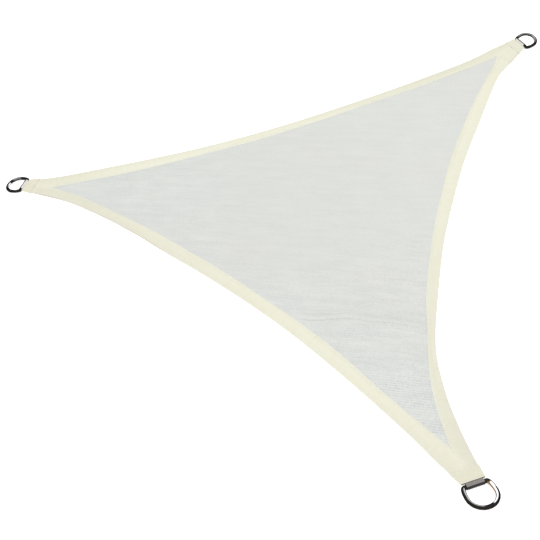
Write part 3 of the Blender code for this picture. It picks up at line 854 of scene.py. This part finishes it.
class Nodes:
    """A node tree under construction."""

    def __init__(self, tree):
        self.tree = tree

    def join(self, socket, value):
        if isinstance(value, Value):
            self.tree.links.new(value.socket, socket)
        else:
            socket.default_value = value

    def node(self, kind, settings=None, sockets=None, output=0):
        """Any node: its type, its settings, the values or links of its sockets."""
        made = self.tree.nodes.new(kind)
        for label, value in (settings or {}).items():
            setattr(made, label, value)
        for label, value in (sockets or {}).items():
            self.join(made.inputs[label], value)
        return Value(self, made.outputs[output]) if made.outputs else None


class Finish(Nodes):
    """A material under construction, whose colours may be given by their names."""

    def __init__(self, name, colours, **uniform):
        self.material = bpy.data.materials.new(name)
        self.material.use_nodes = True
        self.colours = colours
        super().__init__(self.material.node_tree)
        self.wear(**uniform)

    def wear(self, **inputs):
        """Give the shader's inputs their values or links."""
        for label, value in inputs.items():
            self.join(self.tree.nodes["Principled BSDF"].inputs[label.replace("_", " ")], value)
        return self.material

    def mix(self, factor, *pair):
        first, second = ((*getattr(self.colours, colour), 1) if isinstance(colour, str) else colour
                         for colour in pair)
        return self.node("ShaderNodeMix", {"data_type": "RGBA"}, {0: factor, 6: first, 7: second}, 2)

    def place(self, turn=0.0, scale=(1, 1, 1)):
        """Object coordinates, turned about Z and then scaled."""
        sockets = {"Vector": self.node("ShaderNodeTexCoord", output="Object"),
                   "Rotation": (0, 0, math.radians(turn))}
        turned = self.node("ShaderNodeMapping", None, sockets)
        return self.node("ShaderNodeVectorMath", {"operation": "MULTIPLY"}, {0: turned, 1: scale})

    def cloth(self):
        return self.node("ShaderNodeUVMap", {"uv_map": "cloth"})

    def join_xyz(self, x, y):
        return self.node("ShaderNodeCombineXYZ", None, {"X": x, "Y": y})

    def split(self, vector):
        return [self.node("ShaderNodeSeparateXYZ", None, {"Vector": vector}, axis) for axis in "XYZ"]

    def noise(self, vector, scale, detail=2.0):
        sockets = {"Vector": vector, "Scale": scale, "Detail": detail}
        return self.node("ShaderNodeTexNoise", None, sockets, "Fac")

    def tone(self, label):
        return self.node("ShaderNodeAttribute", {"attribute_name": label}, output="Fac")

    def bump(self, height, distance, strength, **normal):
        sockets = {"Height": height, "Distance": distance, "Strength": strength, **normal}
        return self.node("ShaderNodeBump", None, sockets)


# Stitching


def seam_on_binding(edge, share, above):
    """A seam's line on the upper face of a binding."""
    inner, outer = (line[MITRE_STEPS:-MITRE_STEPS] for line in edge.stations())
    height = underside(share, ground(inner), ground(outer), edge.ridge(inner)) + STACK + above
    return np.column_stack([inner + share * (outer - inner), height])


def seam_on_pocket(corner, back):
    """A seam's line across the upper face of a pocket."""
    minus, plus = pocket_reach(corner, back)
    across = np.linspace(-minus + 4 * MM, plus - 4 * MM, 24)
    height = rise(back) + STACK + POCKET_ROOM + POCKET_THICK + pocket_swell(across, back)
    return np.column_stack([corner.place(across, -back), height + corner.tilt(across, -back)])


def stitch_tree(material):
    """A node tree that lays a row of stitches along every line it is given."""
    tree = bpy.data.node_groups.new("Stitches", "GeometryNodeTree")
    tree.interface.new_socket("Geometry", in_out="INPUT", socket_type="NodeSocketGeometry")
    for label in ("Pitch", "Length", "Thickness"):
        tree.interface.new_socket(label, in_out="INPUT", socket_type="NodeSocketFloat")
    tree.interface.new_socket("Geometry", in_out="OUTPUT", socket_type="NodeSocketGeometry")
    nodes = Nodes(tree)
    lines, pitch, length, thick = (nodes.node("NodeGroupInput", output=index) for index in range(4))
    curve = nodes.node("GeometryNodeMeshToCurve", None, {"Mesh": lines})
    steps = nodes.node("GeometryNodeResampleCurve", {"mode": "LENGTH"}, {"Curve": curve, "Length": pitch})
    turn = nodes.node("FunctionNodeAlignRotationToVector", {"axis": "X"},
                      {"Vector": nodes.node("GeometryNodeInputTangent")})
    bead = nodes.node("GeometryNodeMeshUVSphere", None, {"Segments": 6, "Rings": 4, "Radius": 0.5})
    size = nodes.node("ShaderNodeCombineXYZ", None, {"X": length, "Y": thick, "Z": thick})
    bead = nodes.node("GeometryNodeTransform", None, {"Geometry": bead, "Scale": size})
    laid = nodes.node("GeometryNodeInstanceOnPoints", None, {"Points": steps, "Instance": bead,
                                                             "Rotation": turn})
    for kind, sockets in (("GeometryNodeRealizeInstances", {}), ("GeometryNodeSetShadeSmooth", {}),
                          ("GeometryNodeSetMaterial", {"Material": material}), ("NodeGroupOutput", {})):
        laid = nodes.node(kind, None, {"Geometry": laid, **sockets})
    return tree


def sew(name, lines, tree, sizes):
    """Run the stitch tree along lines and keep its result as a plain mesh."""
    starts = np.cumsum([0] + [len(line) for line in lines])
    edges = [(start + k, start + k + 1) for start, line in zip(starts, lines) for k in range(len(line) - 1)]
    guide = add_object(name + "_guide", mesh_from(name + "_guide", np.vstack(lines), edges, []))
    modifier = guide.modifiers.new("Stitches", "NODES")
    modifier.node_group = tree
    values = {"Pitch": sizes.stitch_pitch, "Length": sizes.stitch_length, "Thickness": sizes.thread}
    for item in tree.interface.items_tree:
        if item.in_out == "INPUT" and item.name in values:
            modifier[item.identifier] = values[item.name]
    graph = bpy.context.evaluated_depsgraph_get()
    mesh = bpy.data.meshes.new_from_object(guide.evaluated_get(graph))
    mesh.name = name
    bpy.data.objects.remove(guide, do_unlink=True)
    declare(add_object(name, mesh))


def build_stitches(sizes, material):
    """Twin rows along every binding's hem, and rows across every corner pocket."""
    tree = stitch_tree(material)
    for name, edge in SAIL.edges.items():
        sew("stitches_" + name, [seam_on_binding(edge, share, 0.35 * MM) for share in HEM_SEAMS], tree, sizes)
    for name, corner in SAIL.corners.items():
        sew("stitches_pocket_" + name, [seam_on_pocket(corner, back) for back in POCKET_SEAMS], tree, sizes)


# Materials


def knit_finish(sizes, colours):
    """Knitted shade cloth: flat monofilament rows with small gaps, painted shade in the gaps and painted
    glints on the threads.
    """
    finish = Finish("Knitted shade cloth", colours, Roughness=0.75, Specular_IOR_Level=0.2, Sheen_Weight=0.05)
    place = finish.place(turn=30)
    along, across, _ = finish.split(place)
    across = across + finish.noise(place, 9.0, 1.0) * (3.0 * MM) + finish.noise(place, 60.0, 1.0) * (1.6 * MM)
    row = across / sizes.row_pitch
    gap = across.wave(sizes.row_pitch) ** 2.0
    crest = (1 - across.wave(sizes.row_pitch)) ** 2.0
    number = row.math("FLOOR", row + 0.5)
    thread = finish.noise(finish.join_xyz(along / sizes.dash, number * 7.31), 1.0)
    dashes, glints = thread.ramp(0.40, 3.5), thread.ramp(0.60, -3.5)
    clumps = finish.noise(finish.place(turn=30, scale=(9, 46, 1)), 1.0).ramp(0.40, 4.0)
    streaks = finish.noise(finish.place(turn=30, scale=(5, 40, 1)), 1.0, 3.0)
    slubs = finish.noise(finish.place(turn=30, scale=(16, 120, 1)), 1.0)
    fine = finish.noise(finish.place(turn=30, scale=(110, 190, 1)), 1.0, 1.0)
    patches = finish.noise(finish.place(), 11.0)
    opened, life = finish.tone("open") * sizes.row_contrast, finish.tone("life")
    base = finish.mix(finish.noise(finish.place(), 2.6).ramp(0.35, 2.2), "knit_cool", "knit_warm")
    # Darker towards the left (grey), and painted shade where the rows are more open
    base = finish.mix(finish.tone("grey") * 0.42 + finish.tone("open") * 0.20, base, "knit_dark")
    for noise, start, gain, amount in (
        (streaks, 0.44, 3.0, 0.66), (streaks, 0.5, -3.2, 0.50), (patches, 0.5, 3.0, 0.50),
        (patches, 0.5, -3.0, 0.36), (slubs, 0.5, 4.0, 0.50), (slubs, 0.5, -4.0, 0.30),
        (fine, 0.5, -6.0, 0.28), (fine, 0.5, 6.0, 0.36),
    ):
        mask = noise.ramp(start, gain) * life * amount
        base = finish.mix(mask, base, "knit_light" if gain > 0 else "knit_dark")
    smudge = 0.6 + 0.4 * finish.noise(place, 55.0).ramp(0.35, 3.0)
    for mask, colour in (
        # Painted shade in the gaps between rows, then painted glints on the threads' crests
        (gap * dashes * (0.25 + 0.75 * clumps) * opened, "knit_gap_shade"),
        (crest * glints * opened, "knit_thread_glint"),
        # Painted highlight above each crease, then painted shade in it
        (finish.tone("crease_painted_highlight") * 0.5, "knit_light"),
        (finish.tone("crease") * smudge * 0.42, "crease"),
    ):
        base = finish.mix(mask, base, colour)
    normal = finish.bump(streaks, 2.0 * MM, 0.3, Normal=finish.bump(1 - gap * dashes, 0.5 * MM, 0.45))
    return finish.wear(Base_Color=base, Roughness=0.70 + 0.12 * streaks, Normal=normal)


def binding_finish(name, colours, cloth, warm, weave):
    """Plain woven cream cloth: slow tone changes, greyer ends, painted light on the hem side, painted shade
    on the outer side, painted shadow lines in the folds.
    """
    finish = Finish(name, colours, Roughness=0.75, Specular_IOR_Level=0.2, Sheen_Weight=0.05)
    along, across, _ = finish.split(finish.cloth())
    drifts = finish.noise(finish.cloth(), 22.0)
    pulls = finish.noise(finish.join_xyz(along * 95.0, across * 14.0), 1.0, 1.0)
    warp, weft = along.wave(weave), across.wave(weave)
    checker = warp * weft + (1 - warp) * (1 - weft)
    base = finish.mix(finish.noise(finish.place(), 7.0).ramp(0.36, 2.6), cloth, warm)
    for mask, colour in (
        # Greyer by length, with painted shade on the outer side, and painted light on the hem side
        (finish.tone("dim"), "binding_dim"), (finish.tone("pale"), "binding_hem"),
        (drifts.ramp(0.45, 1.6) * 0.35, "binding_pale"), (pulls.ramp(0.5, 4.0) * 0.30, "binding_pale"),
        # On the bindings, rose is painted shade on the outer side; the groove tone is a painted shadow line
        (pulls.ramp(0.5, -4.0) * 0.22, "binding_dim"), (finish.tone("rose") * 0.6, "binding_rose"),
        (finish.tone("tan") * (0.5 + drifts), "tan"), ((1 - checker) * 0.08, "binding_dim"),
        (finish.tone("warm"), "pocket_strip"),
    ):
        base = finish.mix(mask, base, colour)
    normal = finish.bump(drifts, 1.2 * MM, 0.25, Normal=finish.bump(checker, 0.18 * MM, 0.4))
    return finish.wear(Base_Color=base, Roughness=0.66 + 0.16 * drifts, Normal=normal)


def webbing_finish(name, colours, cloth, rib):
    """Ribbed webbing: cords with a tight weft across, with painted shade where it turns under its bar."""
    finish = Finish(name, colours, Roughness=0.8, Specular_IOR_Level=0.2, Sheen_Weight=0.12)
    along, across, _ = finish.split(finish.cloth())
    ribs = along.wave(rib)
    weft = (across + ribs * (0.3 * rib)).wave(rib * 0.8)
    grain = finish.noise(finish.cloth(), 700.0)
    mask = ribs * 0.6 + weft * 0.4
    spots = finish.noise(finish.place(), 160.0)
    base = finish.mix((mask * 0.6 + grain * 0.3 + spots * 0.4).clamp(), cloth + "_low", cloth)
    # Painted shade where the webbing turns under its bar
    base = finish.mix(finish.tone("painted_under_shade"), base, cloth + "_edge")
    normal = finish.bump(mask + grain * 0.5, 0.4 * MM, 0.8)
    return finish.wear(Base_Color=base, Roughness=0.75 + 0.15 * grain, Normal=normal)


def thread_finish(colours):
    """Twisted sewing thread."""
    finish = Finish("Sewing thread", colours, Roughness=0.55, Specular_IOR_Level=0.35, Sheen_Weight=0.1)
    clouds = finish.noise(finish.place(), 30.0, 1.0)
    x, y, z = finish.split(finish.place())
    normal = finish.bump((x + y + z).wave(0.5 * MM), 0.1 * MM, 0.5)
    return finish.wear(Base_Color=finish.mix(clouds, "thread", "binding_pale"), Normal=normal)


def steel_finish(colours):
    """Dark bright plating with painted reflections: light and amber bands painted on, fine marks and dull
    spots.
    """
    finish = Finish("Plated wire", colours, Metallic=1.0, Specular_Tint=(*colours.steel_edge, 1))
    marks = finish.noise(finish.cloth(), 900.0)
    spots = finish.noise(finish.place(), 90.0, 3.0)
    painted_glint = (finish.tone("painted_glint") * (0.75 + 0.5 * spots)).clamp()
    base = finish.mix(spots.ramp(0.4, 3.0), "steel", "steel_olive")
    base = finish.mix(finish.tone("painted_amber_glint"), base, "steel_painted_amber_glint")
    base = finish.mix(painted_glint, base, "steel_painted_glint")
    normal = finish.bump(spots, 0.25 * MM, 0.12)
    return finish.wear(Base_Color=base, Roughness=0.14 + 0.10 * marks, Normal=normal)


def floor_finish(colours):
    """Plain matt pale floor with a slight glow, so that shadows on it stay pale."""
    finish = Finish("Studio floor", colours, Roughness=0.95, Specular_IOR_Level=0.0, Emission_Strength=0.5,
                    Emission_Color=(1, 1, 1, 1))
    grain = finish.noise(finish.place(), 3.0, 1.0)
    return finish.wear(Base_Color=finish.mix(grain * 0.05, "floor", "floor_shade"))


# Stage


def build_stage(sizes, colours):
    """A pale floor, soft light from above, and the camera."""
    scene = bpy.context.scene
    scene.view_settings.view_transform = "Standard"
    scene.view_settings.look = "None"
    half = sizes.floor_half
    mesh = bpy.data.meshes.new("studio_floor")
    corners = [(-half, -half), (half, -half), (half, half), (-half, half)]
    mesh.from_pydata([(x, y, -0.4 * MM) for x, y in corners], [], [(0, 1, 2, 3)])
    mesh.materials.append(floor_finish(colours))
    add_object("studio_floor", mesh)

    scene.world = bpy.data.worlds.new("Studio")
    scene.world.use_nodes = True
    background = scene.world.node_tree.nodes["Background"]
    background.inputs["Color"].default_value = (*colours.room, 1)
    background.inputs["Strength"].default_value = sizes.room_light

    for name, lift, heading, power, spread in (
        ("key", 58, 118, sizes.key_light, 60), ("fill", 60, -20, sizes.fill_light, 80),
        ("front", 42, -103, sizes.front_light, 80),
    ):
        lamp = bpy.data.lights.new(name, "SUN")
        lamp.energy = power
        lamp.angle = math.radians(spread)
        obj = add_object(name, lamp)
        flat, high = unit(lift)
        towards = Vector((*(flat * unit(heading)), high))
        obj.rotation_euler = towards.to_track_quat("Z", "Y").to_euler()
        obj.location = towards * 4

    camera = bpy.data.cameras.new("camera")
    camera.lens, camera.sensor_width = CAMERA_LENS, CAMERA_SENSOR
    camera.clip_start, camera.clip_end = 0.05, 60
    scene.camera = add_object("camera", camera)
    scene.camera.location = CAMERA_PLACE + Vector(SAIL.origin)
    scene.camera.rotation_euler = [math.radians(angle) for angle in CAMERA_TURN]


# Add-on


def number(name, text, default, **settings):
    return FloatProperty(name=name, description=text, default=default, min=0.0, **settings)


def length(name, text, default):
    return number(name, text, default, precision=4, subtype="DISTANCE", unit="LENGTH")


def colour(name, text, default):
    return FloatVectorProperty(name=name, description=text, default=default, min=0, max=1, subtype="COLOR")


def settings(context):
    return context.scene.sail_sizes, context.scene.sail_colours


class SailSizes(bpy.types.PropertyGroup):
    """Sizes of the sail's details and of its studio."""
    row_pitch: length("Row pitch", "Distance between rows", 8.4 * MM)
    dash: length("Dash length", "Length of the gaps in a row", 4.0 * MM)
    row_contrast: number("Row contrast", "How dark the gaps are", 0.6, max=1.0)
    slack: number("Slack", "How high the slow waves are", 1.0, max=2.0)
    pucker: length("Pucker", "Height of the puckers along a hem", 0.25 * MM)
    stitch_pitch: length("Stitch pitch", "Distance from stitch to stitch", 5.0 * MM)
    stitch_length: length("Stitch length", "Thread showing in one stitch", 3.9 * MM)
    thread: length("Thread", "Thickness of the thread", 0.7 * MM)
    weave: length("Weave", "Pitch of the bindings' weave", 1.6 * MM)
    rib: length("Rib", "Pitch of the webbing's ribs", 2.4 * MM)
    floor_half: length("Floor", "Half the floor's side", 14.0)
    key_light: number("Key light", "Strength of the main light", 0.69)
    fill_light: number("Fill light", "Strength of the second light", 0.50)
    front_light: number("Front light", "Strength of the front light", 0.56)
    room_light: number("Room light", "Strength of the room's light", 0.98)


class SailColours(bpy.types.PropertyGroup):
    """Colours of the sail and its studio."""
    knit_cool: colour("Knit, cool", "Cooler places", (0.523, 0.535, 0.509))
    knit_warm: colour("Knit, warm", "Warmer places", (0.536, 0.528, 0.500))
    knit_light: colour("Knit, light", "Light streaks", (0.565, 0.573, 0.551))
    knit_dark: colour("Knit, dark", "Dark streaks", (0.446, 0.461, 0.454))
    # Painted glints on the knit's threads, and painted shade in its gaps
    knit_thread_glint: colour("Knit thread", "Threads in the light", (0.62, 0.64, 0.61))
    knit_gap_shade: colour("Knit gaps", "Gaps between the rows", (0.298, 0.312, 0.320))
    # Painted shade in the creases
    crease: colour("Crease", "The line in a sharp crease", (0.298, 0.305, 0.290))
    binding: colour("Binding", "Cream cloth", (0.625, 0.617, 0.512))
    binding_warm: colour("Binding, warm", "Its warmer places", (0.617, 0.602, 0.473))
    binding_pale: colour("Binding, pale", "Its paler places", (0.632, 0.632, 0.558))
    # Painted light on each binding's hem side
    binding_hem: colour("Binding, hem", "Paler cloth along the hems", (0.668, 0.664, 0.568))
    binding_dim: colour("Binding, dim", "Greyer cloth near the corners", (0.546, 0.538, 0.434))
    # Painted shade on the bindings' outer sides; the pockets' rose strips use it too
    binding_rose: colour("Binding, rose", "Cooler cloth of outer sides", (0.557, 0.519, 0.512))
    # Painted shadow line in each pressed-in fold
    tan: colour("Tan", "The line inside a fold", (0.414, 0.346, 0.256))
    pocket: colour("Pocket", "Cloth of the pockets", (0.625, 0.617, 0.512))
    pocket_warm: colour("Pocket, warm", "Its warmer places", (0.617, 0.602, 0.481))
    pocket_strip: colour("Pocket, strip", "Warm strips across the pockets", (0.572, 0.534, 0.403))
    thread: colour("Thread", "Sewing thread", (0.587, 0.580, 0.512))
    webbing: colour("Webbing", "Webbing of the left and far corners", (0.668, 0.656, 0.595))
    webbing_low: colour("Webbing, low", "Its hollows", (0.560, 0.545, 0.490))
    # Painted shade where the light webbing turns under its bar
    webbing_edge: colour("Webbing, edge", "Where it turns under", (0.085, 0.050, 0.058))
    webbing_dark: colour("Dark webbing", "Webbing of the near corner", (0.240, 0.224, 0.216))
    webbing_dark_low: colour("Dark webbing, low", "Its hollows", (0.128, 0.118, 0.116))
    # Painted shade where the dark webbing turns under its bar
    webbing_dark_edge: colour("Dark webbing, edge", "Where it turns under", (0.022, 0.019, 0.020))
    steel: colour("Steel", "Dark plating", (0.014, 0.013, 0.013))
    steel_olive: colour("Steel, olive", "Its warmer places", (0.022, 0.020, 0.015))
    # Colours of the painted reflections on the rings
    steel_painted_amber_glint: colour("Steel, amber", "Its amber bands", (0.416, 0.224, 0.080))
    steel_painted_glint: colour("Steel, bright", "Its light bands", (0.92, 0.93, 0.92))
    steel_edge: colour("Steel, edge", "Seen along its surface", (0.22, 0.22, 0.22))
    floor: colour("Floor", "Studio floor", (0.96, 0.96, 0.96))
    floor_shade: colour("Floor, shade", "Its slow changes", (0.93, 0.93, 0.93))
    room: colour("Room", "The even light", (1.0, 1.0, 1.0))


class SAIL_OT_panel(bpy.types.Operator):
    """Make the knitted panel"""
    bl_idname = "shade_sail.panel"
    bl_label = "Knitted panel"

    def execute(self, context):
        sizes, colours = settings(context)
        build_panel(sizes, knit_finish(sizes, colours))
        return {"FINISHED"}


class SAIL_OT_bindings(bpy.types.Operator):
    """Make the three edge bindings"""
    bl_idname = "shade_sail.bindings"
    bl_label = "Edge bindings"

    def execute(self, context):
        sizes, colours = settings(context)
        material = binding_finish("Binding cloth", colours, "binding", "binding_warm", sizes.weave)
        for name, edge in SAIL.edges.items():
            build_binding("binding_" + name + "_cloth", edge, sizes, material)
        return {"FINISHED"}


class SAIL_OT_pockets(bpy.types.Operator):
    """Make the three corner pockets"""
    bl_idname = "shade_sail.pockets"
    bl_label = "Corner pockets"

    def execute(self, context):
        sizes, colours = settings(context)
        material = binding_finish("Pocket cloth", colours, "pocket", "pocket_warm", sizes.weave)
        for name, corner in SAIL.corners.items():
            build_pocket("pocket_" + name + "_cloth", corner, material)
        return {"FINISHED"}


class SAIL_OT_loops(bpy.types.Operator):
    """Make the webbing round the rings' bars"""
    bl_idname = "shade_sail.loops"
    bl_label = "Webbing loops"

    def execute(self, context):
        sizes, colours = settings(context)
        light = webbing_finish("Light webbing", colours, "webbing", sizes.rib)
        dark = webbing_finish("Dark webbing", colours, "webbing_dark", sizes.rib)
        for name, corner in SAIL.corners.items():
            material, slot = (dark, "loop_dark") if name == "near" else (light, "loop_light")
            build_loop("loop_" + name + "_webbing", corner, material)
        return {"FINISHED"}


class SAIL_OT_rings(bpy.types.Operator):
    """Make the three D rings"""
    bl_idname = "shade_sail.rings"
    bl_label = "D rings"

    def execute(self, context):
        material = steel_finish(context.scene.sail_colours)
        for name, corner in SAIL.corners.items():
            build_ring("ring_" + name + "_wire", corner, material)
        return {"FINISHED"}


class SAIL_OT_stitches(bpy.types.Operator):
    """Sew the rows of stitches"""
    bl_idname = "shade_sail.stitches"
    bl_label = "Stitches"

    def execute(self, context):
        build_stitches(context.scene.sail_sizes, thread_finish(context.scene.sail_colours))
        return {"FINISHED"}


class SAIL_OT_stage(bpy.types.Operator):
    """Make the floor, the lights and the camera"""
    bl_idname = "shade_sail.stage"
    bl_label = "Studio"

    def execute(self, context):
        build_stage(*settings(context))
        return {"FINISHED"}


STEPS = ("panel", "bindings", "pockets", "loops", "rings", "stitches", "stage")


class SAIL_PT_panel(bpy.types.Panel):
    """The sail's sizes, colours and making steps"""
    bl_idname = "SAIL_PT_panel"
    bl_label = "Shade sail"
    bl_space_type = "VIEW_3D"
    bl_region_type = "UI"
    bl_category = "Shade sail"

    def draw(self, context):
        for group in settings(context):
            box = self.layout.box()
            for label in group.__annotations__:
                box.prop(group, label)
        for step in STEPS:
            self.layout.operator("shade_sail." + step)


CLASSES = (SailSizes, SailColours, SAIL_OT_panel, SAIL_OT_bindings, SAIL_OT_pockets, SAIL_OT_loops,
           SAIL_OT_rings, SAIL_OT_stitches, SAIL_OT_stage, SAIL_PT_panel)


def register():
    for kind in CLASSES:
        bpy.utils.register_class(kind)
    bpy.types.Scene.sail_sizes = PointerProperty(type=SailSizes)
    bpy.types.Scene.sail_colours = PointerProperty(type=SailColours)


def unregister():
    del bpy.types.Scene.sail_colours
    del bpy.types.Scene.sail_sizes
    for kind in reversed(CLASSES):
        bpy.utils.unregister_class(kind)


def main():
    """Make every piece and the studio."""
    register()
    for step in STEPS:
        getattr(bpy.ops.shade_sail, step)()


if __name__ == "__main__":
    main()
